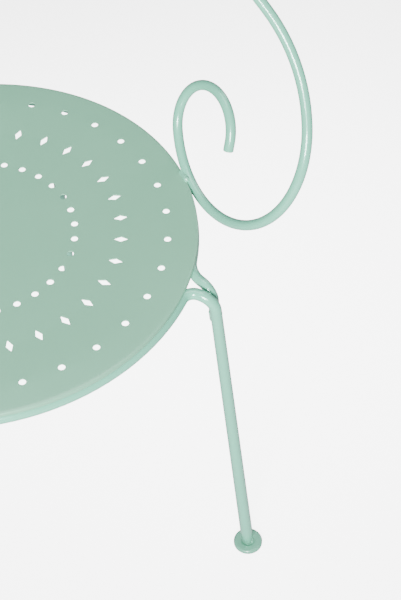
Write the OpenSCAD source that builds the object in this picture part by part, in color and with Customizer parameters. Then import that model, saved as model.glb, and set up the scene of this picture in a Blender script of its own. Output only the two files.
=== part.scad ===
// Stacking chair bent from round steel rod, with a perforated round seat and scrolled arm loops.
// Millimetres, +Z up, the chair faces -Y. Origin on the floor below the centre of the seat.

/* [Seat] */
// Height of the seat surface above the floor
seat_height = 450; // [400:1:500]
// Radius of the round seat at its rim
seat_radius = 205; // [185:1:220]
// Thickness of the pressed sheet
sheet_thickness = 1.1; // [1:0.1:2.4]
// Depth of the folded rim
rim_thickness = 4.2; // [2:0.1:6]
// Depth of the shallow dish at the middle
dish_depth = 2.3; // [0:0.1:6]
// Number of perforations in each of the three rings
holes_per_ring = 32; // [16:1:40]
// Diameter of the round perforations
round_hole = 6.3; // [4:0.1:9]
// Length of the diamond perforations, along the radius
diamond_length = 13.8; // [8:0.1:18]
// Width of the diamond perforations
diamond_width = 6.3; // [4:0.1:10]
// Radius of the outer ring of round perforations
outer_ring_radius = 177.6; // [165:0.1:180]
// Radius of the ring of diamond perforations
diamond_ring_radius = 135.8; // [120:0.1:150]
// Radius of the inner ring of round perforations
inner_ring_radius = 94; // [75:0.1:105]

/* [Legs] */
// Diameter of the rod of the front leg frame
leg_rod = 10.6; // [9:0.1:12]
// Diameter of the rod of the two side rails
rail_rod = 9.6; // [9:0.1:12]
// Diameter of every leg just above its foot
leg_foot_rod = 13.2; // [9:0.1:14]
// Diameter of the rear arc under the seat
rear_arc_rod = 8.5; // [7:0.1:9]
// Sideways position of the front feet
front_foot_x = 221.4; // [200:0.1:235]
// Forward position of the front feet
front_foot_y = -130.3; // [-150:0.1:-110]
// Sideways position of the rear feet
rear_foot_x = 128; // [115:0.1:150]
// Rearward position of the rear feet
rear_foot_y = 210; // [190:0.1:225]
// Inner radius line of the knee bends
knee_radius = 15.5; // [12:0.5:16]

/* [Arms and back] */
// Diameter of the rod of the arm and back hoop
hoop_rod = 9.4; // [8:0.1:11]
// Outward lean of the arm loops in degrees
arm_lean = 23; // [10:0.5:30]
// Turn of the arm loops about the vertical in degrees
arm_toe = 12.66; // [5:0.1:20]
// Radius of the big arm loop
lobe_radius = 88.7; // [75:0.1:95]
// Radius of the curl inside the arm loop
curl_radius = 38.7; // [30:0.1:42]
// Radius of the shoulder bends behind the arm loops
shoulder_radius = 160.6; // [140:0.1:175]
// Radius of the crown of the hoop
crown_radius = 155; // [130:1:175]
// Distance from the arm loop to the crown, along the hoop
crown_reach = 455; // [400:1:480]
// Half the distance between the feet of the inner back arch
arch_half_width = 62; // [50:1:80]
// Half the width of the inner back arch at its top
arch_top_half_width = 112.5; // [112:0.5:125]

/* [Feet] */
// Diameter of the foot discs
foot_diameter = 31.5; // [26:0.5:36]
// Thickness of the foot discs
foot_thickness = 5.5; // [4:0.5:8]

/* [Hidden] */

coat = [0.63, 0.73, 0.68];
section_facets = 30;
sagitta = 0.2;
seam = 0.01;
core_reach = 0.6;
core_share = 0.9;

ring_outer = seat_radius + 0.7;
leg_ring = ring_outer - leg_rod / 2;
leg_z = seat_height - rim_thickness - leg_rod / 2 + 0.1;
rail_ring = ring_outer - rail_rod / 2;
rail_z = seat_height - rim_thickness - rail_rod / 2 + 0.1;
arc_ring = rail_ring - rail_rod / 2 - rear_arc_rod / 2 + 0.1;

front_arc_radius = 207.3;
front_arc_centre = [0, 6, 0];
front_bend_angle = -41.9;
front_bend_lead = 11.2;
leg_tip_rod = 8.6;
leg_tip_length = 14;
rail_bend_angle = -27.5;
rail_bend_lead = 14.2;
rear_bend_angle = 49.2;
foot_seat = foot_thickness - 0.9;

function unit(v) = v / norm(v);
function turn(a, b, c) = acos(min(1, max(-1, unit(b - a) * unit(c - b))));
function lead(p, r, i) = (i == 0 || i == len(p) - 1) ? 0 : r[i] * tan(turn(p[i - 1], p[i], p[i + 1]) / 2);
function steps(r) = ceil(180 / acos(1 - sagitta / r));
function ring_point(r, a, z) = [r * cos(a), r * sin(a), z];
function ring_tangent(a) = [-sin(a), cos(a), 0];
function flip(p) = [for (q = p) [-q.x, q.y, q.z]];
function reversed(p) = [for (i = [len(p) - 1:-1:0]) p[i]];
function arc_corners(c, r, a0, a1, n) = [
    for (i = [0:n - 1])
        let (s = (a1 - a0) / n, m = a0 + (i + 0.5) * s)
            c + r / cos(s / 2) * [cos(m), sin(m)]
];
function ring_corner(r, a0, a1, z) = ring_point(r / cos((a1 - a0) / 2), (a0 + a1) / 2, z);

// Plane of the right arm loop: it touches the rim at arm_base, u runs rearward and v upward.
arm_base = [seat_radius + hoop_rod / 2 - 0.9, 2.8, seat_height];
u_dir = [-sin(arm_toe), cos(arm_toe), 0];
v_dir = [sin(arm_lean) * cos(arm_toe), sin(arm_lean) * sin(arm_toe), cos(arm_lean)];
lobe_centre = [-36.96, 80.1];
meet_angle = -37.19;
lobe_top = 146.46;
curl_end = 165;
curl_tail = 8.4;
curl_centre = lobe_centre + (lobe_radius - curl_radius) * [cos(meet_angle), sin(meet_angle)];
function on_arm(p) = arm_base + p.x * u_dir + p.y * v_dir;

tail_start = curl_centre + curl_radius * [cos(curl_end), sin(curl_end)];
tail_point = tail_start + curl_tail * [-sin(curl_end), cos(curl_end)];

// Plane of the back hoop: it leaves the arm loop at arm_top along its tangent.
arm_top = on_arm(lobe_centre + lobe_radius * [cos(lobe_top), sin(lobe_top)]);
top_heading = sin(lobe_top) * u_dir - cos(lobe_top) * v_dir;
rise = norm([top_heading.y, top_heading.z]);
a_dir = [0, top_heading.y, top_heading.z] / rise;
function on_hoop(p) = [p.x, arm_top.y + p.y * a_dir.y, arm_top.z + p.y * a_dir.z];

shoulder_centre = [arm_top.x - shoulder_radius * rise, shoulder_radius * top_heading.x];
shoulder_start = -atan2(top_heading.x, rise);
crown_centre = [0, crown_reach - crown_radius];
span = crown_centre - shoulder_centre;
shoulder_end = asin((shoulder_radius - crown_radius) / norm(span)) - atan2(span.x, span.y);
shoulder_corner = arc_corners(shoulder_centre, shoulder_radius, shoulder_start, shoulder_end, 1)[0];
crown_corner = [0, crown_centre.y + crown_radius / sin(shoulder_end)];
crown_point = on_hoop([0, crown_reach]);

hoop_side = concat(
    [on_arm(tail_point)],
    [for (q = arc_corners(curl_centre, curl_radius, curl_end, meet_angle, 2)) on_arm(q)],
    [for (q = arc_corners(lobe_centre, lobe_radius, meet_angle + 360, lobe_top, 2)) on_arm(q)],
    [on_hoop(shoulder_corner)]);
hoop_side_radii = [0, curl_radius, curl_radius, lobe_radius, lobe_radius, shoulder_radius];
hoop_path = concat(hoop_side, [on_hoop(crown_corner)], reversed(flip(hoop_side)));
hoop_radii = concat(hoop_side_radii, [crown_radius], reversed(hoop_side_radii));

// Inner back arch: it stands against the rear rim and touches the crown from behind.
arch_ring = seat_radius + hoop_rod / 2 - 0.15;
arch_y = sqrt(arch_ring * arch_ring - arch_half_width * arch_half_width);
arch_base = [arch_half_width, arch_y, seat_height - 10];
arch_bar = crown_point + (hoop_rod - 0.1) * [0, a_dir.z, -a_dir.y];
arch_shoulder = [arch_top_half_width, arch_bar.y, arch_bar.z];
arch_path = [arch_base, arch_shoulder, flip([arch_shoulder])[0], flip([arch_base])[0]];

// Leg paths.
front_foot = [front_foot_x, front_foot_y, 0];
rear_foot = [rear_foot_x, rear_foot_y, 0];
knee = [181.1, -141.8, leg_z];
front_heading = unit(front_foot - knee);
front_tip = front_foot - front_heading * (foot_seat / -front_heading.z);
front_neck = front_tip - leg_tip_length * front_heading;
front_corner = front_arc_centre + ring_point(front_arc_radius, front_bend_angle, leg_z)
    + front_bend_lead * ring_tangent(front_bend_angle);
front_side = [front_neck, knee, front_corner];
front_path = concat(front_side,
    [front_arc_centre + ring_corner(front_arc_radius, front_bend_angle, -180 - front_bend_angle, leg_z)],
    reversed(flip(front_side)));
front_radii = [0, knee_radius, 10.8, front_arc_radius, 10.8, knee_radius, 0];

rail_knee = [183.4, -132.3, rail_z];
rail_tail = [185.2, -131.2, rail_z - 40];
rail_corner = ring_point(rail_ring, rail_bend_angle, rail_z) - rail_bend_lead * ring_tangent(rail_bend_angle);
rear_lead = 17;
rear_knee = ring_point(rail_ring, rear_bend_angle, rail_z) + rear_lead * ring_tangent(rear_bend_angle);
rear_heading = unit(rear_foot - rear_knee);
rear_tip = rear_foot - rear_heading * (foot_seat / -rear_heading.z);
rear_neck = rear_tip - leg_tip_length * rear_heading;
rail_path = [rail_tail, rail_knee, rail_corner,
    ring_corner(rail_ring, rail_bend_angle, rear_bend_angle, rail_z), rear_knee, rear_neck];
rail_radii = [0, 13.5, 29.3, rail_ring, 17.5, 0];

module rod_straight(a, b, d, d_end) {
    v = b - a;
    l = norm(v);
    translate(a)
        rotate([0, acos(v.z / l), atan2(v.y, v.x)])
            cylinder(h = l, d1 = d, d2 = is_undef(d_end) ? d : d_end, $fn = section_facets);
}

module rod_bend(a, b, c, r, d) {
    u = unit(b - a);
    n = unit(cross(u, unit(c - b)));
    m = cross(n, u);
    t = turn(a, b, c);
    o = b - r * tan(t / 2) * u + r * m;
    trim = seam * 57.3 / r;
    multmatrix([
        [-m.x, u.x, n.x, o.x],
        [-m.y, u.y, n.y, o.y],
        [-m.z, u.z, n.z, o.z],
        [0, 0, 0, 1]])
        rotate([0, 0, trim])
            rotate_extrude(angle = t - 2 * trim, $fn = steps(r))
                translate([r, 0])
                    circle(d = d, $fn = section_facets);
}

// Solid core across the seam where two stretches of one rod meet.
module rod_core(p, heading, d) {
    rod_straight(p - core_reach * heading, p + core_reach * heading, core_share * d);
}

// Narrowed end of a leg where it enters its foot.
module leg_tip(neck, tip) {
    heading = unit(tip - neck);
    rod_straight(neck + seam * heading, tip, leg_foot_rod, leg_tip_rod);
    rod_straight(neck - core_reach * heading, neck + core_reach * heading, core_share * leg_tip_rod);
}

// A rod bent along a chain of corner points, each corner rounded to its own radius.
// The first and last stretches may swell or shrink to the diameters d_first and d_last.
module bent_rod(p, r, d, d_first, d_last) {
    for (i = [0:len(p) - 2]) {
        heading = unit(p[i + 1] - p[i]);
        a = p[i] + lead(p, r, i) * heading;
        b = p[i + 1] - lead(p, r, i + 1) * heading;
        gap = (b - a) * heading;
        if (gap > 0.1)
            rod_straight(a + seam * heading, b - seam * heading,
                i == 0 && !is_undef(d_first) ? d_first : d,
                i == len(p) - 2 && !is_undef(d_last) ? d_last : d);
        if (gap < 1.4)
            rod_straight(a - core_reach * heading, b + core_reach * heading, core_share * d);
        if (gap >= 1.4 && i > 0)
            rod_core(a, heading, d);
        if (gap >= 1.4 && i < len(p) - 2)
            rod_core(b, heading, d);
    }
    for (i = [1:len(p) - 2])
        rod_bend(p[i - 1], p[i], p[i + 1], r[i], d);
}

// A round bead, laid as overlapping blobs along a heading, n on each side of the middle one.
module bead(p, heading, r, pitch, n = 1) {
    for (k = [-n:n])
        translate(p + k * pitch * heading)
            sphere(r = r * (k == 0 ? 1 : 0.86), $fn = 18);
}

module bead_arc(r, a0, a1, z, d) {
    translate([0, 0, z])
        rotate([0, 0, a0])
            rotate_extrude(angle = a1 - a0, $fn = 72)
                translate([r, 0])
                    circle(d = d, $fn = 14);
}

module both_sides() {
    children();
    mirror([1, 0, 0])
        children();
}

module perforation_ring(r) {
    for (i = [0:holes_per_ring - 1])
        rotate([0, 0, i * 360 / holes_per_ring])
            translate([r, 0, seat_height - 12])
                children();
}

module seat_pan() {
    rim_in = seat_radius - 9;
    fall = 0.25;
    fold = 1.4;
    fold_points = [for (i = [0:5])
        let (t = 15 + i * 15)
            [seat_radius - fold * (1 - sin(t)), seat_height - fall - fold * (cos(15) - cos(t))]];
    color(coat)
        difference() {
            rotate_extrude($fn = 96)
                polygon(concat(
                    [[0, seat_height - dish_depth]],
                    [[inner_ring_radius, seat_height - dish_depth]],
                    [[diamond_ring_radius, seat_height - dish_depth * 0.65]],
                    [[outer_ring_radius, seat_height]],
                    [[seat_radius - 3.6, seat_height]],
                    fold_points,
                    [[seat_radius - 0.3, seat_height - rim_thickness]],
                    [[rim_in, seat_height - rim_thickness]],
                    [[rim_in - 0.6, seat_height - sheet_thickness]],
                    [[outer_ring_radius, seat_height - sheet_thickness]],
                    [[diamond_ring_radius, seat_height - dish_depth * 0.65 - sheet_thickness]],
                    [[inner_ring_radius, seat_height - dish_depth - sheet_thickness]],
                    [[0, seat_height - dish_depth - sheet_thickness]]));
            perforation_ring(outer_ring_radius)
                cylinder(h = 20, d = round_hole, $fn = 16);
            perforation_ring(inner_ring_radius)
                cylinder(h = 20, d = round_hole, $fn = 16);
            perforation_ring(diamond_ring_radius)
                linear_extrude(20)
                    polygon([
                        [-diamond_length / 2, 0],
                        [0, -diamond_width / 2],
                        [diamond_length / 2, 0],
                        [0, diamond_width / 2]]);
        }
}

module front_leg_frame() {
    color(coat) {
        bent_rod(front_path, front_radii, leg_rod, leg_foot_rod, leg_foot_rod);
        both_sides()
            leg_tip(front_neck, front_tip);
    }
}

module side_rail() {
    bent_rod(rail_path, rail_radii, rail_rod, rail_rod, leg_foot_rod);
    leg_tip(rear_neck, rear_tip);
}

module side_rail_right() {
    color(coat)
        side_rail();
}

module side_rail_left() {
    color(coat)
        mirror([1, 0, 0])
            side_rail();
}

module rear_arc() {
    color(coat)
        translate([0, 0, rail_z])
            rotate([0, 0, 44])
                rotate_extrude(angle = 92, $fn = steps(arc_ring))
                    translate([arc_ring, 0])
                        circle(d = rear_arc_rod, $fn = section_facets);
}

module arm_hoop() {
    color(coat)
        bent_rod(hoop_path, hoop_radii, hoop_rod);
}

module back_inner_arch() {
    color(coat)
        bent_rod(arch_path, [0, 98, 98, 0], hoop_rod);
}

module foot_disc(p) {
    r = foot_diameter / 2;
    h = foot_thickness;
    color(coat)
        translate(p)
            rotate_extrude($fn = 48)
                polygon([
                    [0, 0],
                    [r - 1.2, 0],
                    [r, 1.2],
                    [r, h - 2.2],
                    [r - 0.35, h - 1.1],
                    [r - 1.1, h - 0.35],
                    [r - 2.2, h],
                    [7.6, h],
                    [7.2, h - 0.8],
                    [0, h - 0.8]]);
}

module foot_disc_front_right() {
    foot_disc(front_foot);
}

module foot_disc_front_left() {
    foot_disc(flip([front_foot])[0]);
}

module foot_disc_rear_right() {
    foot_disc(rear_foot);
}

module foot_disc_rear_left() {
    foot_disc(flip([rear_foot])[0]);
}

module arm_welds() {
    color(coat)
        both_sides()
            bead([seat_radius - 0.3, 2.2, seat_height - 0.1], unit([-0.06, 1, -0.05]), 3.1, 2.9, 2);
}

module knee_welds() {
    side = [1.26, 10.25, 0];
    mid = knee + side / 2;
    low = mid + front_heading * 26;
    top = mid + [-4.5, 2.4, 1];
    slant = unit([0.8, -0.6, 0]);
    color(coat)
        both_sides() {
            rod_straight(low + [4.2, -0.5, 0] - 4 * front_heading, low + [4.2, -0.5, 0] + 4 * front_heading, 3.4);
            rod_straight(low + [-4.2, 0.5, 0] - 4 * front_heading, low + [-4.2, 0.5, 0] + 4 * front_heading, 3.4);
            rod_straight(top - 3.6 * slant, top + 3.6 * slant, 3);
        }
}

module rear_arc_welds() {
    joint = arc_ring + rear_arc_rod / 2;
    color(coat)
        both_sides() {
            bead_arc(joint, 44.2, 48.6, rail_z + 2.7, 2.4);
            bead_arc(joint, 44.2, 48.6, rail_z - 2.7, 2.4);
        }
}

module seat_tack_welds() {
    color(coat) {
        both_sides() {
            bead_arc(leg_ring - 5.1, -62, -58.5, seat_height - rim_thickness - 1.2, 3.2);
            bead_arc(rail_ring - 4.9, -16, -12.5, seat_height - rim_thickness - 1.2, 3.2);
            bead_arc(rail_ring - 4.9, 28, 31.5, seat_height - rim_thickness - 1.2, 3.2);
        }
        bead_arc(leg_ring - 5.1, -91.75, -88.25, seat_height - rim_thickness - 1.2, 3.2);
    }
}

module foot_bead(p, a0, a1, reach) {
    translate([p.x, p.y, 0])
        bead_arc(reach, a0, a1, foot_thickness - 0.4, 2.3);
}

module foot_welds() {
    color(coat)
        both_sides() {
            foot_bead(front_foot - front_heading * 5, -55, 130, leg_tip_rod / 2 + 0.9);
            foot_bead(rear_foot - rear_heading * 5, -60, 125, leg_tip_rod / 2 + 0.9);
        }
}

module back_arch_welds() {
    a = atan2(arch_y, arch_half_width);
    out = [0, a_dir.z, -a_dir.y];
    color(coat) {
        both_sides()
            for (k = [-1, 1])
                translate(ring_point(seat_radius + 0.6, a + k * 1.15, seat_height - 1.9))
                    rod_straight([0, 0, -2.6], [0, 0, 2.6], 3.4);
        for (k = [-1, 1])
            translate(crown_point + 4.7 * out + k * 3.4 * a_dir)
                rod_straight([-4.8, 0, 0], [4.8, 0, 0], 3.4);
    }
}

seat_pan();
front_leg_frame();
side_rail_right();
side_rail_left();
rear_arc();
arm_hoop();
back_inner_arch();
foot_disc_front_right();
foot_disc_front_left();
foot_disc_rear_right();
foot_disc_rear_left();
arm_welds();
knee_welds();
rear_arc_welds();
seat_tack_welds();
foot_welds();
back_arch_welds();
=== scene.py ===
import math

import bmesh
import bpy
from mathutils import Matrix, Vector, geometry, noise


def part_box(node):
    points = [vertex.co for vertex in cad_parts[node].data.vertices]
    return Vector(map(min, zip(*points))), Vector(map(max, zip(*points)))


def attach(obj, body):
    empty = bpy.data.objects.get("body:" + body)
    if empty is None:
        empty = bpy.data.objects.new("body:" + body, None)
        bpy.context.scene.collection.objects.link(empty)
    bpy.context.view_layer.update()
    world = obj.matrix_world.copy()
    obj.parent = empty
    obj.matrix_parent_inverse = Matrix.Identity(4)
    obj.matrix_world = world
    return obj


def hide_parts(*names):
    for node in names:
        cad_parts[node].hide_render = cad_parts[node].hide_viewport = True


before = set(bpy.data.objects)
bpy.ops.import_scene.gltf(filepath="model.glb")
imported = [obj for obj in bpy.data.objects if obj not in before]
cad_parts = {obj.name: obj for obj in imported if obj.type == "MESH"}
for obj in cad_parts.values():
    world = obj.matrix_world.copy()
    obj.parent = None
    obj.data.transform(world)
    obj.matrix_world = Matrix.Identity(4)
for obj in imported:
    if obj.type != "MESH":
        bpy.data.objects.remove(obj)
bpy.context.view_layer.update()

# Shapes are worked out in millimetres and multiplied by MM where they become mesh points.
# The lights and the camera are in metres.
MM = 0.001


def mm(v):
    return [c / MM for c in v]


# ---------------------------------------------------------------- what the frame says
seat_lo, seat_hi = (mm(v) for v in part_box("seat_pan"))
RIM = (seat_hi[0] - seat_lo[0]) / 2
SEAT = seat_hi[2]
SKIRT = seat_hi[2] - seat_lo[2]


def foot_centre(name):
    lo, hi = (mm(v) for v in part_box(name))
    return Vector(((lo[0] + hi[0]) / 2, (lo[1] + hi[1]) / 2, 0.0)), hi[2] - lo[2], (hi[0] - lo[0]) / 2


FRONT_FOOT, FOOT_H, FOOT_R = foot_centre("foot_disc_front_right")
REAR_FOOT = foot_centre("foot_disc_rear_right")[0]

LEG_ROD, RAIL_ROD, HOOP_ROD, ARC_ROD = 10.6, 9.6, 9.4, 8.5
LEG_FOOT_ROD, LEG_TIP_ROD, LEG_TIP = 13.2, 8.6, 14.0
TIP_BELOW = 0.9
RING_OUT = RIM + 0.7
LEG_Z = SEAT - SKIRT - LEG_ROD / 2 + 0.1
RAIL_RING = RING_OUT - RAIL_ROD / 2
RAIL_Z = SEAT - SKIRT - RAIL_ROD / 2 + 0.1
ARC_RING = RAIL_RING - RAIL_ROD / 2 - ARC_ROD / 2 + 0.1


def polar(r, a, z=0.0):
    a = math.radians(a)
    return Vector((r * math.cos(a), r * math.sin(a), z))


def along_ring(a):
    a = math.radians(a)
    return Vector((-math.sin(a), math.cos(a), 0.0))


def flip(points):
    return [Vector((-p.x, p.y, p.z)) for p in points]


def corner_fan(c, r, a0, a1, n):
    """Corner points round an arc, in its own plane. Filleted with radius r they give the arc back."""
    s = (a1 - a0) / n
    return [
        (c[0] + r / math.cos(math.radians(s / 2)) * math.cos(math.radians(a0 + (i + 0.5) * s)),
         c[1] + r / math.cos(math.radians(s / 2)) * math.sin(math.radians(a0 + (i + 0.5) * s)))
        for i in range(n)
    ]


def ring_corner(r, a0, a1, z):
    return polar(r / math.cos(math.radians((a1 - a0) / 2)), (a0 + a1) / 2, z)


# ---------------------------------------------------------------- rod routes
# The arm loop lies in a leaning plane: U runs along the arm and V runs up it. Angles are in degrees.
LEAN, TOE = math.radians(23), math.radians(12.66)
ARM_BASE = Vector((RIM + HOOP_ROD / 2 - 0.9, 2.8, SEAT))
U = Vector((-math.sin(TOE), math.cos(TOE), 0))
V = Vector((math.sin(LEAN) * math.cos(TOE), math.sin(LEAN) * math.sin(TOE), math.cos(LEAN)))
LOBE_C, LOBE_R, LOBE_TOP = (-36.96, 80.1), 88.7, 146.46
CURL_R, CURL_END, CURL_TAIL = 38.7, 165.0, 8.4
MEET = -37.19
CURL_C = (LOBE_C[0] + (LOBE_R - CURL_R) * math.cos(math.radians(MEET)),
          LOBE_C[1] + (LOBE_R - CURL_R) * math.sin(math.radians(MEET)))


def on_arm(q):
    return ARM_BASE + U * q[0] + V * q[1]


curl_end = math.radians(CURL_END)
tail = (CURL_C[0] + CURL_R * math.cos(curl_end) - CURL_TAIL * math.sin(curl_end),
        CURL_C[1] + CURL_R * math.sin(curl_end) + CURL_TAIL * math.cos(curl_end))
lobe_top = math.radians(LOBE_TOP)
ARM_TOP = on_arm((LOBE_C[0] + LOBE_R * math.cos(lobe_top), LOBE_C[1] + LOBE_R * math.sin(lobe_top)))
top_heading = U * math.sin(lobe_top) - V * math.cos(lobe_top)
# The hoop lies in a second plane, square to the sides: A runs up it.
rise = math.hypot(top_heading.y, top_heading.z)
A = Vector((0, top_heading.y / rise, top_heading.z / rise))


def on_hoop(q):
    return Vector((q[0], ARM_TOP.y + q[1] * A.y, ARM_TOP.z + q[1] * A.z))


SHOULDER_R, CROWN_R, CROWN = 160.6, 155.0, 455.0
shoulder_c = (ARM_TOP.x - SHOULDER_R * rise, SHOULDER_R * top_heading.x)
shoulder_a0 = -math.degrees(math.atan2(top_heading.x, rise))
dx, da = -shoulder_c[0], CROWN - CROWN_R - shoulder_c[1]
shoulder_a1 = math.degrees(math.asin((SHOULDER_R - CROWN_R) / math.hypot(dx, da)) - math.atan2(dx, da))
side = [on_arm(tail)]
side += [on_arm(q) for q in corner_fan(CURL_C, CURL_R, CURL_END, MEET, 2)]
side += [on_arm(q) for q in corner_fan(LOBE_C, LOBE_R, MEET + 360, LOBE_TOP, 2)]
side += [on_hoop(corner_fan(shoulder_c, SHOULDER_R, shoulder_a0, shoulder_a1, 1)[0])]
side_r = [0, CURL_R, CURL_R, LOBE_R, LOBE_R, SHOULDER_R]
crown_corner = on_hoop((0, CROWN - CROWN_R + CROWN_R / math.sin(math.radians(shoulder_a1))))
HOOP = (side + [crown_corner] + flip(side)[::-1],
        side_r + [CROWN_R] + side_r[::-1])
CROWN_POINT = on_hoop((0, CROWN))

ARCH_FOOT_X, ARCH_SHOULDER_X, ARCH_BEND = 62, 112.5, 98
OFF_HOOP = Vector((0, A.z, -A.y))
arch_ring = RIM + HOOP_ROD / 2 - 0.15
arch_base = Vector((ARCH_FOOT_X, math.sqrt(arch_ring ** 2 - ARCH_FOOT_X ** 2), SEAT - 10))
bar = CROWN_POINT + OFF_HOOP * (HOOP_ROD - 0.1)
shoulder = Vector((ARCH_SHOULDER_X, bar.y, bar.z))
ARCH = ([arch_base, shoulder] + flip([shoulder, arch_base]), [0, ARCH_BEND, ARCH_BEND, 0])

knee = Vector((181.1, -141.8, LEG_Z))
FRONT_DIR = (FRONT_FOOT - knee).normalized()
front_tip = FRONT_FOOT - FRONT_DIR * ((FOOT_H - TIP_BELOW) / -FRONT_DIR.z)
ARC_C, ARC_R, BEND_A = Vector((0, 6, 0)), 207.3, -41.9
KNEE_R, BEND_R = 15.5, 10.8
front_corner = ARC_C + polar(ARC_R, BEND_A, LEG_Z) + along_ring(BEND_A) * 11.2
half = [front_tip, knee, front_corner]
FRONT = (half + [ARC_C + ring_corner(ARC_R, BEND_A, -180 - BEND_A, LEG_Z)] + flip(half)[::-1],
         [0, KNEE_R, BEND_R, ARC_R, BEND_R, KNEE_R, 0])

RAIL_FRONT_A, RAIL_REAR_A = -27.5, 49.2
rear_knee = polar(RAIL_RING, RAIL_REAR_A, RAIL_Z) + along_ring(RAIL_REAR_A) * 17
REAR_DIR = (REAR_FOOT - rear_knee).normalized()
rear_tip = REAR_FOOT - REAR_DIR * ((FOOT_H - TIP_BELOW) / -REAR_DIR.z)
RAIL = ([Vector((185.2, -131.2, RAIL_Z - 40)), Vector((183.4, -132.3, RAIL_Z)),
         polar(RAIL_RING, RAIL_FRONT_A, RAIL_Z) - along_ring(RAIL_FRONT_A) * 14.2,
         ring_corner(RAIL_RING, RAIL_FRONT_A, RAIL_REAR_A, RAIL_Z), rear_knee, rear_tip],
        [0, 13.5, 29.3, RAIL_RING, 17.5, 0])


# ---------------------------------------------------------------- mesh tools
def new_piece(name, bm, material, replaced, sharp=35):
    me = bpy.data.meshes.new(name)
    bmesh.ops.recalc_face_normals(bm, faces=bm.faces)
    bm.to_mesh(me)
    bm.free()
    me.shade_smooth()
    me.set_sharp_from_angle(angle=math.radians(sharp))
    ob = bpy.data.objects.new(name, me)
    bpy.context.scene.collection.objects.link(ob)
    me.materials.append(material)
    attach(ob, "root")
    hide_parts(*replaced)
    return ob


def route(points, radii, step=3.0, stride=12.0):
    """Points along a rod whose corners are rounded to the given radii."""
    out = []

    def add(p):
        if not out or (p - out[-1]).length > 0.02:
            out.append(p)

    def straight(p):
        if out:
            a, gap = out[-1].copy(), (p - out[-1]).length
            for k in range(1, int(gap // stride) + 1):
                add(a.lerp(p, k / (gap // stride + 1)))
        add(p)

    for i, p in enumerate(points):
        if i in (0, len(points) - 1):
            straight(p.copy())
            continue
        u = (p - points[i - 1]).normalized()
        w = (points[i + 1] - p).normalized()
        t = u.angle(w)
        r = radii[i]
        m = (w - u * u.dot(w)).normalized()
        start = p - u * r * math.tan(t / 2)
        centre = start + m * r
        straight(start)
        n = max(3, math.ceil(math.degrees(t) / step * min(1.0, 0.5 + r / 60)))
        for k in range(1, n + 1):
            f = t * k / n
            add(centre - m * r * math.cos(f) + u * r * math.sin(f))
    return out


def sweep(bm, path, radius, sides=28, edge=0.9):
    """A round rod along path. radius(s, length) is in millimetres; the ends get a small worn edge."""
    n = len(path)
    tangents = []
    for i in range(n):
        a = path[max(0, i - 1)]
        b = path[min(n - 1, i + 1)]
        if 0 < i < n - 1:
            tangents.append(((path[i] - a).normalized() + (b - path[i]).normalized()).normalized())
        else:
            tangents.append((b - a).normalized())
    length = [0.0]
    for i in range(1, n):
        length.append(length[-1] + (path[i] - path[i - 1]).length)
    total = length[-1]
    x = tangents[0].orthogonal().normalized()
    rows = []
    for i in range(n):
        t = tangents[i]
        if i:
            x = tangents[i - 1].rotation_difference(t) @ x
        x = (x - t * x.dot(t)).normalized()
        rows.append((path[i], t, x.copy(), radius(length[i], total)))
    if edge:
        first, last = rows[0], rows[-1]
        lead_in = [(0.0, -edge), (0.12, -0.45 * edge), (0.42, -0.16 * edge), (1.0, 0.0)]
        head = [(first[0] + first[1] * k * edge, first[1], first[2], first[3] + d) for k, d in lead_in]
        end = [(last[0] - last[1] * k * edge, last[1], last[2], last[3] + d) for k, d in reversed(lead_in)]
        rows = head + rows[1:-1] + end
    rings = []
    for p, t, ax, r in rows:
        ay = t.cross(ax)
        rings.append([bm.verts.new((p + (ax * math.cos(2 * math.pi * k / sides)
                                         + ay * math.sin(2 * math.pi * k / sides)) * r) * MM)
                      for k in range(sides)])
    for a, b in zip(rings, rings[1:]):
        for k in range(sides):
            bm.faces.new((a[k], a[(k + 1) % sides], b[(k + 1) % sides], b[k]))
    bm.faces.new(rings[0][::-1])
    bm.faces.new(rings[-1])


def revolve(bm, profile, centre, sides=72):
    """A closed turned shape: the profile runs from the axis to the axis."""
    rows = []
    for r, z in profile:
        if r < 1e-6:
            rows.append([bm.verts.new(Vector((centre.x, centre.y, centre.z + z)) * MM)])
        else:
            rows.append([bm.verts.new((centre + polar(r, 360 * k / sides, z)) * MM) for k in range(sides)])
    for a, b in zip(rows, rows[1:]):
        for k in range(sides):
            quad = [a[k % len(a)], a[(k + 1) % len(a)], b[(k + 1) % len(b)], b[k % len(b)]]
            bm.faces.new(list(dict.fromkeys(quad)))


def weld_bead(bm, path, width, seed, rough=1.0):
    """A weld laid along path: rippled, uneven and rounded off at both ends."""
    total = sum((b - a).length for a, b in zip(path, path[1:]))

    def r(s, length):
        end = min(1.0, math.sqrt(max(0.0, min(s, length - s) / (0.6 * width)) + 0.05))
        ripple = 0.07 * rough * math.sin(s * 2 * math.pi / 1.5 + seed)
        drift = 0.14 * rough * noise.noise(Vector((s * 0.33, seed * 3.1, 0.4)))
        return width * end * (1 + ripple + drift)

    fine = [path[0]]
    steps = max(6, int(total / 0.35))
    cum = [0.0]
    for a, b in zip(path, path[1:]):
        cum.append(cum[-1] + (b - a).length)
    for k in range(1, steps + 1):
        s = total * k / steps
        j = next(i for i in range(1, len(cum)) if cum[i] >= s - 1e-9)
        f = (s - cum[j - 1]) / (cum[j] - cum[j - 1])
        q = path[j - 1].lerp(path[j], f)
        wander = Vector((noise.noise(q * 0.4), noise.noise(q * 0.4 + Vector((9, 0, 0))), 0))
        q += wander * 0.12 * rough * width
        fine.append(q)
    sweep(bm, fine, r, sides=12, edge=0)


# ---------------------------------------------------------------- materials
SPECULAR_LEVEL, SPECULAR_TINT = 0.65, (0.72, 1.0, 0.90, 1)
COAT_WEIGHT, COAT_ROUGHNESS = 0.45, 0.13


def tinted(base, red, green, blue):
    """The base colour with its channels scaled, each at most 1."""
    return (min(1, base[0] * red), min(1, base[1] * green), min(1, base[2] * blue), 1)


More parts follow.
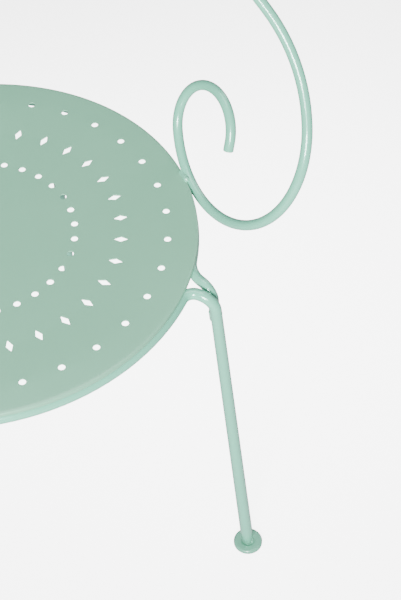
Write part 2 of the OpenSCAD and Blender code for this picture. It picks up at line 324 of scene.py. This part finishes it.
def powder_coat(name, base, seed, rough, peel=0.05):
    """Satin powder coat: orange peel, soft tone drift, flecks, thin edges, and painted shade darkening the
    hollows.
    """
    mat = bpy.data.materials.new(name)
    mat.use_nodes = True
    nt = mat.node_tree
    nt.nodes.clear()
    N, L = nt.nodes.new, nt.links.new
    out = N("ShaderNodeOutputMaterial")
    bsdf = N("ShaderNodeBsdfPrincipled")
    L(bsdf.outputs["BSDF"], out.inputs["Surface"])
    coord = N("ShaderNodeTexCoord")
    mapping = N("ShaderNodeMapping")
    mapping.inputs["Location"].default_value = (seed * 0.37, seed * 0.11, seed * 0.23)
    L(coord.outputs["Object"], mapping.inputs["Vector"])

    def noise_node(scale, detail):
        n = N("ShaderNodeTexNoise")
        n.inputs["Scale"].default_value = scale
        n.inputs["Detail"].default_value = detail
        L(mapping.outputs["Vector"], n.inputs["Vector"])
        return n

    drift = noise_node(9.0, 3.0)
    tone = N("ShaderNodeMixRGB")
    tone.blend_type = "MIX"
    tone.inputs["Color1"].default_value = tinted(base, 0.94, 0.955, 0.95)
    tone.inputs["Color2"].default_value = tinted(base, 1.06, 1.045, 1.05)
    L(drift.outputs["Fac"], tone.inputs["Fac"])

    speck = noise_node(420.0, 2.0)
    speck_range = N("ShaderNodeMapRange")
    speck_range.inputs["From Min"].default_value = 0.62
    speck_range.inputs["From Max"].default_value = 0.78
    speck_range.inputs["To Max"].default_value = 0.10
    L(speck.outputs["Fac"], speck_range.inputs["Value"])
    flecks = N("ShaderNodeMixRGB")
    flecks.inputs["Color2"].default_value = tinted(base, 0.78, 0.8, 0.79)
    L(speck_range.outputs["Result"], flecks.inputs["Fac"])
    L(tone.outputs["Color"], flecks.inputs["Color1"])

    geo = N("ShaderNodeNewGeometry")
    edge = N("ShaderNodeMapRange")
    edge.inputs["From Min"].default_value = 0.53
    edge.inputs["From Max"].default_value = 0.66
    edge.inputs["To Max"].default_value = 0.22
    L(geo.outputs["Pointiness"], edge.inputs["Value"])
    thin = N("ShaderNodeMixRGB")
    thin.inputs["Color2"].default_value = tinted(base, 1.35, 1.25, 1.3)
    L(edge.outputs["Result"], thin.inputs["Fac"])
    L(flecks.outputs["Color"], thin.inputs["Color1"])

    # Painted shade: the colour darkens where the surface is hollow (low pointiness), standing in for shade
    # in recesses.
    hollow_shade_mask = N("ShaderNodeMapRange")
    hollow_shade_mask.inputs["From Min"].default_value = 0.47
    hollow_shade_mask.inputs["From Max"].default_value = 0.38
    hollow_shade_mask.inputs["To Max"].default_value = 0.30
    L(geo.outputs["Pointiness"], hollow_shade_mask.inputs["Value"])
    painted_hollow_shade = N("ShaderNodeMixRGB")
    painted_hollow_shade.inputs["Color2"].default_value = tinted(base, 0.62, 0.66, 0.62)
    L(hollow_shade_mask.outputs["Result"], painted_hollow_shade.inputs["Fac"])
    L(thin.outputs["Color"], painted_hollow_shade.inputs["Color1"])
    L(painted_hollow_shade.outputs["Color"], bsdf.inputs["Base Color"])

    gloss = noise_node(60.0, 4.0)
    gloss_range = N("ShaderNodeMapRange")
    gloss_range.inputs["To Min"].default_value = rough - 0.05
    gloss_range.inputs["To Max"].default_value = rough + 0.06
    L(gloss.outputs["Fac"], gloss_range.inputs["Value"])
    L(gloss_range.outputs["Result"], bsdf.inputs["Roughness"])

    skin = noise_node(1300.0, 1.5)
    wave = noise_node(260.0, 2.0)
    both = N("ShaderNodeMath")
    both.operation = "MULTIPLY_ADD"
    both.inputs[1].default_value = 0.6
    L(skin.outputs["Fac"], both.inputs[0])
    L(wave.outputs["Fac"], both.inputs[2])
    bump = N("ShaderNodeBump")
    bump.inputs["Strength"].default_value = peel
    bump.inputs["Distance"].default_value = 0.0006
    L(both.outputs["Value"], bump.inputs["Height"])
    L(bump.outputs["Normal"], bsdf.inputs["Normal"])

    bsdf.inputs["Specular IOR Level"].default_value = SPECULAR_LEVEL
    bsdf.inputs["Specular Tint"].default_value = SPECULAR_TINT
    bsdf.inputs["Coat Weight"].default_value = COAT_WEIGHT
    bsdf.inputs["Coat Roughness"].default_value = COAT_ROUGHNESS
    return mat


# One powder coat in lit and shaded copies: the rods' base is brighter and more saturated as painted light,
# and the sheet's is duller as painted shade.
LIT_ROD_MAT = powder_coat("powder_coat_rod", (0.140, 0.455, 0.318), 1, 0.21)
SHADED_SHEET_MAT = powder_coat("powder_coat_sheet", (0.158, 0.388, 0.257), 2, 0.36, 0.07)
# Painted shade: the feet get a darker copy of the rod coat, for the shade round the foot sockets.
SHADED_FOOT_MAT = powder_coat("powder_coat_foot", (0.120, 0.345, 0.240), 3, 0.26)
WELD_MAT = powder_coat("coated_weld", (0.150, 0.440, 0.305), 4, 0.38, 0.12)


# ---------------------------------------------------------------- rods
def rod(name, path, diameter, node, ends=None):
    bm = bmesh.new()
    sweep(bm, route(*path), ends or (lambda s, length: diameter / 2))
    return new_piece(name, bm, LIT_ROD_MAT, [node])


def leg_swell(s, base, straight):
    """Radius of a leg s millimetres above its tip."""
    if s < LEG_TIP:
        return (LEG_TIP_ROD + (LEG_FOOT_ROD - LEG_TIP_ROD) * math.sin(s / LEG_TIP * math.pi / 2)) / 2
    if s < straight:
        f = (s - LEG_TIP) / (straight - LEG_TIP)
        return (LEG_FOOT_ROD + (base - LEG_FOOT_ROD) * f) / 2
    return base / 2


FRONT_KNEE_TAKES, REAR_KNEE_TAKES = 16, 18
FRONT_LEG = (knee - front_tip).length - FRONT_KNEE_TAKES
REAR_LEG = (rear_knee - rear_tip).length - REAR_KNEE_TAKES

rod("front_leg_frame_rod", FRONT, LEG_ROD, "front_leg_frame",
    lambda s, length: leg_swell(min(s, length - s), LEG_ROD, FRONT_LEG))
rod("side_rail_right_rod", RAIL, RAIL_ROD, "side_rail_right",
    lambda s, length: leg_swell(length - s, RAIL_ROD, REAR_LEG))
rod("side_rail_left_rod", (flip(RAIL[0]), RAIL[1]), RAIL_ROD, "side_rail_left",
    lambda s, length: leg_swell(length - s, RAIL_ROD, REAR_LEG))
rod("arm_hoop_rod", HOOP, HOOP_ROD, "arm_hoop")
rod("back_inner_arch_rod", ARCH, HOOP_ROD, "back_inner_arch")

bm = bmesh.new()
ARC_START, ARC_SWEEP, ARC_STEPS = 44, 92, 46
sweep(bm, [polar(ARC_RING, ARC_START + ARC_SWEEP * k / ARC_STEPS, RAIL_Z) for k in range(ARC_STEPS + 1)],
      lambda s, length: ARC_ROD / 2)
new_piece("rear_arc_rod", bm, LIT_ROD_MAT, ["rear_arc"])


# ---------------------------------------------------------------- seat pan
HOLES, ROUND, DIAMOND = 32, 6.3, (13.8, 6.3)
OUTER, MIDDLE, INNER = 177.6, 135.8, 94.0
DISH, SHEET = 2.3, 1.1
FOLD, FOLD_FALL, FOLD_START, FOLD_STEPS = 1.4, 0.25, 15, 9
HEM, EASE = 9, 3.6
HOLE_SEGMENTS, DIAMOND_SOFT = 28, 0.45
SEGMENTS = 256


def dish(r):
    """Depth of the top surface below the rim, in straight slopes between the rings."""
    stops = [(0, DISH), (INNER, DISH), (MIDDLE, DISH * 0.65), (OUTER, 0.0), (RIM, 0.0)]
    for (ra, da_), (rb, db) in zip(stops, stops[1:]):
        if r <= rb:
            return da_ + (db - da_) * (r - ra) / (rb - ra)
    return 0.0


def circle(r, n):
    return [(r * math.cos(2 * math.pi * k / n), r * math.sin(2 * math.pi * k / n)) for k in range(n)]


def hole_outline(kind, grow):
    if kind == "round":
        r = ROUND / 2 + grow
        return circle(r, HOLE_SEGMENTS)
    a, b, soft = DIAMOND[0] / 2, DIAMOND[1] / 2, DIAMOND_SOFT
    lean = math.atan2(b, a)
    pts = []
    for cx, cy, mid, half_turn in ((a, 0, 0, math.pi / 2 - lean), (0, b, math.pi / 2, lean),
                                   (-a, 0, math.pi, math.pi / 2 - lean), (0, -b, 1.5 * math.pi, lean)):
        back = soft / math.cos(half_turn)
        ox, oy = cx - back * math.cos(mid), cy - back * math.sin(mid)
        for k in range(5):
            w = mid - half_turn + half_turn * k / 2
            pts.append((ox + (soft + grow) * math.cos(w), oy + (soft + grow) * math.sin(w)))
    return pts


def placed(points, r, a):
    c, s = math.cos(a), math.sin(a)
    return [((r + x) * c - y * s, (r + x) * s + y * c) for x, y in points]


def seat():
    bm = bmesh.new()
    hem = RIM - HEM
    top_edge = RIM - EASE
    holes = []
    for i in range(HOLES):
        a = 2 * math.pi * i / HOLES
        for r, kind in ((OUTER, "round"), (MIDDLE, "diamond"), (INNER, "round")):
            holes.append((placed(hole_outline(kind, 0.3), r, a), placed(hole_outline(kind, 0.07), r, a),
                          placed(hole_outline(kind, 0.0), r, a), (r * math.cos(a), r * math.sin(a))))
    pts, edges = [], []

    def loop(points):
        k = len(pts)
        pts.extend(Vector(p) for p in points)
        edges.extend((k + j, k + (j + 1) % len(points)) for j in range(len(points)))

    loop(circle(top_edge, SEGMENTS))
    loop(circle(hem, SEGMENTS))
    for h in holes:
        loop(h[0])
    for r in (10, 24, 38, 52, 66, 80, 104, 112, 120, 148, 158, 168, 187):
        n = max(12, int(r / 1.6) // 32 * 32) if r > 60 else max(12, int(r * 0.8))
        for k in range(n):
            a = 2 * math.pi * (k + 0.5) / n
            pts.append(Vector((r * math.cos(a), r * math.sin(a))))
    verts, _, faces, *_ = geometry.delaunay_2d_cdt(pts, edges, [], 0, 1e-7)

    def in_hole(x, y):
        for outer, _, _, (cx, cy) in holes:
            if abs(x - cx) < 8 and abs(y - cy) < 8:
                inside = False
                for (x0, y0), (x1, y1) in zip(outer, outer[1:] + outer[:1]):
                    if (y0 > y) != (y1 > y) and x < (x1 - x0) * (y - y0) / (y1 - y0) + x0:
                        inside = not inside
                if inside:
                    return True
        return False

    tops, lows = {}, {}

    def vert(store, j, drop):
        if j not in store:
            x, y = verts[j]
            store[j] = bm.verts.new(Vector((x, y, SEAT - dish(math.hypot(x, y)) - drop)) * MM)
        return store[j]

    for f in faces:
        x = sum(verts[j][0] for j in f) / len(f)
        y = sum(verts[j][1] for j in f) / len(f)
        if in_hole(x, y) or math.hypot(x, y) > top_edge:
            continue
        bm.faces.new([vert(tops, j, 0.0) for j in f])
        if math.hypot(x, y) < hem:
            bm.faces.new([vert(lows, j, SHEET) for j in reversed(f)])

    lookup = {(round(v[0], 4), round(v[1], 4)): j for j, v in enumerate(verts)}

    def find(p):
        j = lookup.get((round(p[0], 4), round(p[1], 4)))
        if j is None:
            j = min(range(len(verts)), key=lambda q: (verts[q][0] - p[0]) ** 2 + (verts[q][1] - p[1]) ** 2)
        return j

    def strip(a, b):
        n = len(a)
        for k in range(n):
            bm.faces.new((a[k], a[(k + 1) % n], b[(k + 1) % n], b[k]))

    for outer, mid, wall, _ in holes:
        rows = [[tops[find(p)] for p in outer]]
        for line, drop in ((mid, 0.08), (wall, 0.3), (wall, SHEET - 0.25), (mid, SHEET - 0.04)):
            rows.append([bm.verts.new(Vector((x, y, SEAT - dish(math.hypot(x, y)) - drop)) * MM)
                         for x, y in line])
        rows.append([lows[find(p)] for p in outer])
        for a, b in zip(rows, rows[1:]):
            strip(a, b)

    roll = [(RIM - 3.0, SEAT - 0.02), (RIM - 2.3, SEAT - 0.07), (RIM - 1.6, SEAT - 0.14)]
    first = math.radians(FOLD_START)
    for k in range(FOLD_STEPS + 1):
        t = first + (math.pi / 2 - first) * k / FOLD_STEPS
        roll.append((RIM - FOLD * (1 - math.sin(t)),
                     SEAT - FOLD_FALL - FOLD * (math.cos(first) - math.cos(t))))
    roll += [(RIM - 0.05, SEAT - SKIRT + 0.5), (RIM - 0.25, SEAT - SKIRT + 0.15), (RIM - 0.7, SEAT - SKIRT),
             (hem + 0.5, SEAT - SKIRT), (hem + 0.12, SEAT - SKIRT + 0.15), (hem, SEAT - SKIRT + 0.5)]
    rows = [[tops[find(p)] for p in circle(top_edge, SEGMENTS)]]
    for r, z in roll:
        rows.append([bm.verts.new(Vector((x, y, z)) * MM) for x, y in circle(r, SEGMENTS)])
    rows.append([lows[find(p)] for p in circle(hem, SEGMENTS)])
    for a, b in zip(rows, rows[1:]):
        strip(a, b)
    return new_piece("seat_pan_sheet", bm, SHADED_SHEET_MAT, ["seat_pan"], sharp=14)


seat()


# ---------------------------------------------------------------- feet
def foot(name, node, centre):
    r, h = FOOT_R, FOOT_H
    bm = bmesh.new()
    profile = [(0, 0), (r - 1.4, 0), (r - 0.5, 0.35), (r - 0.05, 1.1), (r, 1.8), (r, h - 2.6)]
    for k in range(1, 9):
        t = math.pi / 2 * k / 8
        profile.append((r - 2.4 * (1 - math.cos(t)), h - 2.6 + 2.4 * math.sin(t) + 0.2 * math.sin(t)))
    profile += [(8.8, h), (8.0, h - 0.05), (7.4, h - 0.3), (7.1, h - 0.7),
                (6.6, h - 0.95), (5.5, h - 1.0), (0, h - 1.0)]
    revolve(bm, profile, centre)
    new_piece(name, bm, SHADED_FOOT_MAT, [node])


for sx, side_name in ((1, "right"), (-1, "left")):
    for end_name, at in (("front_", FRONT_FOOT), ("rear_", REAR_FOOT)):
        place = Vector((sx * at.x, at.y, 0))
        foot("foot_" + end_name + side_name, "foot_disc_" + end_name + side_name, place)


# ---------------------------------------------------------------- welds
def welds(name, node, beads, rough=1.0):
    bm = bmesh.new()
    for j, (path, width) in enumerate(beads):
        weld_bead(bm, path, width, 1.7 * j + 0.6, rough)
    new_piece(name, bm, WELD_MAT, [node], sharp=70)


def both(beads):
    return [b for path, width in beads for b in ((path, width), (flip(path), width))]


def arc_path(centre, r, a0, a1, z, n=12):
    return [centre + polar(r, a0 + (a1 - a0) * k / n, z) for k in range(n + 1)]


ORIGIN = Vector((0, 0, 0))
run = Vector((-0.06, 1, -0.05)).normalized()
spot = Vector((RIM - 0.3, 2.2, SEAT - 0.1))
ARM_WELD_REACH, ARM_WELD_WIDTH = 8.2, 3.1
welds("arm_weld_beads", "arm_welds",
      both([([spot - run * ARM_WELD_REACH, spot + run * ARM_WELD_REACH], ARM_WELD_WIDTH)]), 0.25)

gap = Vector((1.26, 10.25, 0))
mid_knee = knee + gap / 2
low = mid_knee + FRONT_DIR * 26
slant = Vector((0.8, -0.6, 0))
top_spot = mid_knee + Vector((-4.5, 2.4, 1))
welds("knee_weld_beads", "knee_welds", both([
    ([low + Vector((4.2, -0.5, 0)) - FRONT_DIR * 4, low + Vector((4.2, -0.5, 0)) + FRONT_DIR * 4], 1.8),
    ([low + Vector((-4.2, 0.5, 0)) - FRONT_DIR * 4, low + Vector((-4.2, 0.5, 0)) + FRONT_DIR * 4], 1.8),
    ([top_spot - slant * 3.6, top_spot + slant * 3.6], 1.6)]))

joint = ARC_RING + ARC_ROD / 2
welds("rear_arc_weld_beads", "rear_arc_welds", both([
    (arc_path(ORIGIN, joint, 44.2, 48.6, RAIL_Z + 2.7), 1.2),
    (arc_path(ORIGIN, joint, 44.2, 48.6, RAIL_Z - 2.7), 1.2)]))

tack_z = SEAT - SKIRT - 1.2
leg_ring = RING_OUT - LEG_ROD / 2
TACK = 1.6
welds("seat_tack_beads", "seat_tack_welds", both([
    (arc_path(ORIGIN, leg_ring - 5.1, -62, -58.5, tack_z), TACK),
    (arc_path(ORIGIN, RAIL_RING - 4.9, -16, -12.5, tack_z), TACK),
    (arc_path(ORIGIN, RAIL_RING - 4.9, 28, 31.5, tack_z), TACK)])
    + [(arc_path(ORIGIN, leg_ring - 5.1, -91.75, -88.25, tack_z), TACK)])

reach = LEG_TIP_ROD / 2 + 0.9
f_at = FRONT_FOOT - FRONT_DIR * 5
r_at = REAR_FOOT - REAR_DIR * 5
welds("foot_weld_beads", "foot_welds", both([
    (arc_path(Vector((f_at.x, f_at.y, 0)), reach, -55, 130, FOOT_H - 0.4, 24), 1.15),
    (arc_path(Vector((r_at.x, r_at.y, 0)), reach, -60, 125, FOOT_H - 0.4, 24), 1.15)]))

stand = math.degrees(math.atan2(arch_base.y, arch_base.x))
beads = []
for k in (-1, 1):
    p = polar(RIM + 0.6, stand + k * 1.15, SEAT - 1.9)
    beads.append(([p - Vector((0, 0, 2)), p + Vector((0, 0, 2))], 1.7))
beads = both(beads)
for k in (-1, 1):
    p = CROWN_POINT + OFF_HOOP * 4.7 + A * 3.4 * k
    beads.append(([p - Vector((4.4, 0, 0)), p + Vector((4.4, 0, 0))], 1.7))
welds("back_arch_weld_beads", "back_arch_welds", beads)


# ---------------------------------------------------------------- floor, light and camera
def seen(nt, bright, plain):
    """Mixes two shaders: bright where the lens sees the surface, plain for the light it throws on."""
    mix = nt.nodes.new("ShaderNodeMixShader")
    ray = nt.nodes.new("ShaderNodeLightPath")
    nt.links.new(ray.outputs["Is Camera Ray"], mix.inputs["Fac"])
    nt.links.new(plain, mix.inputs[1])
    nt.links.new(bright, mix.inputs[2])
    return mix.outputs[0]


FLOOR_GREY = (0.45, 0.45, 0.455, 1)
# Painted pool of light: the floor glows brightest round a centre near the chair and fades outwards.
LIGHT_POOL_CENTRE, LIGHT_POOL_REACH, LIGHT_POOL_BRIGHT, LIGHT_POOL_EDGE = (0.25, 0.16, 0), 1.3, 6.6, 2.9
SKY_LOW, SKY_HIGH, SKY_SEEN = 0.06, 0.42, 3.0


def floor():
    bm = bmesh.new()
    bmesh.ops.create_grid(bm, x_segments=8, y_segments=8, size=9.0)
    me = bpy.data.meshes.new("studio_floor")
    bm.to_mesh(me)
    bm.free()
    ob = bpy.data.objects.new("studio_floor", me)
    ob.location = (0, 0, -0.0003)
    bpy.context.scene.collection.objects.link(ob)
    mat = bpy.data.materials.new("studio_floor")
    mat.use_nodes = True
    nt = mat.node_tree
    nt.nodes.clear()
    N, L = nt.nodes.new, nt.links.new
    out = N("ShaderNodeOutputMaterial")
    paper = N("ShaderNodeBsdfDiffuse")
    paper.inputs["Color"].default_value = FLOOR_GREY
    coord = N("ShaderNodeTexCoord")
    away = N("ShaderNodeVectorMath")
    away.operation = "DISTANCE"
    away.inputs[1].default_value = LIGHT_POOL_CENTRE
    L(coord.outputs["Object"], away.inputs[0])
    # Painted light: the floor's glow strength, strongest near the chair and falling off with distance.
    painted_light_pool = N("ShaderNodeMapRange")
    painted_light_pool.interpolation_type = "SMOOTHSTEP"
    painted_light_pool.inputs["From Max"].default_value = LIGHT_POOL_REACH
    painted_light_pool.inputs["To Min"].default_value = LIGHT_POOL_BRIGHT
    painted_light_pool.inputs["To Max"].default_value = LIGHT_POOL_EDGE
    L(away.outputs["Value"], painted_light_pool.inputs["Value"])
    glow = N("ShaderNodeEmission")
    glow.inputs["Color"].default_value = (1, 1, 1, 1)
    L(painted_light_pool.outputs["Result"], glow.inputs["Strength"])
    lit = N("ShaderNodeAddShader")
    L(paper.outputs[0], lit.inputs[0])
    L(glow.outputs[0], lit.inputs[1])
    L(seen(nt, lit.outputs[0], paper.outputs[0]), out.inputs["Surface"])
    me.materials.append(mat)


floor()

world = bpy.context.scene.world or bpy.data.worlds.new("studio")
bpy.context.scene.world = world
world.use_nodes = True
wt = world.node_tree
wt.nodes.clear()
sky = wt.nodes.new("ShaderNodeBackground")
sky.inputs["Color"].default_value = (0.96, 0.98, 1.0, 1)
wc = wt.nodes.new("ShaderNodeTexCoord")
up_ = wt.nodes.new("ShaderNodeSeparateXYZ")
fall = wt.nodes.new("ShaderNodeMapRange")
fall.inputs["From Min"].default_value = -0.1
fall.inputs["From Max"].default_value = 1.0
fall.inputs["To Min"].default_value = SKY_LOW
fall.inputs["To Max"].default_value = SKY_HIGH
wt.links.new(wc.outputs["Generated"], up_.inputs[0])
wt.links.new(up_.outputs["Z"], fall.inputs["Value"])
wt.links.new(fall.outputs["Result"], sky.inputs["Strength"])
paper_back = wt.nodes.new("ShaderNodeBackground")
paper_back.inputs["Color"].default_value = (1, 1, 1, 1)
paper_back.inputs["Strength"].default_value = SKY_SEEN
world_out = wt.nodes.new("ShaderNodeOutputWorld")
wt.links.new(seen(wt, paper_back.outputs[0], sky.outputs[0]), world_out.inputs["Surface"])


def softbox(name, place, aim, size, power):
    data = bpy.data.lights.new(name, "AREA")
    data.shape = "RECTANGLE"
    data.size, data.size_y = size
    data.energy = power
    ob = bpy.data.objects.new(name, data)
    ob.location = place
    ob.rotation_euler = (Vector(aim) - Vector(place)).to_track_quat("-Z", "Y").to_euler()
    bpy.context.scene.collection.objects.link(ob)


softbox("key", (-1.1, -2.6, 1.75), (0, 0, 0.4), (1.0, 1.0), 330)
softbox("overhead", (0.2, 0.4, 3.2), (0, 0, 0), (1.8, 1.8), 46)
softbox("rim_light", (2.4, 1.6, 1.8), (0, 0, 0.5), (1.0, 2.0), 22)

# The camera's place and lens are fitted to the rings of perforations.
PICTURE_HEIGHT = 600
cam_data = bpy.data.cameras.new("camera")
cam_data.lens = 87.39
cam_data.sensor_width = 36.0
cam_data.shift_x = -0.2 / PICTURE_HEIGHT
cam_data.shift_y = 0.2 / PICTURE_HEIGHT
cam = bpy.data.objects.new("camera", cam_data)
right = Vector((0.940212, -0.340263, -0.014859))
up = Vector((0.266982, 0.709230, 0.652468))
back = Vector((-0.211473, -0.617426, 0.757671))
m = Matrix((right, up, back)).transposed().to_4x4()
m.translation = Vector((-0.09725, -0.91809, 1.39724))
cam.matrix_world = m
bpy.context.scene.collection.objects.link(cam)
bpy.context.scene.camera = cam
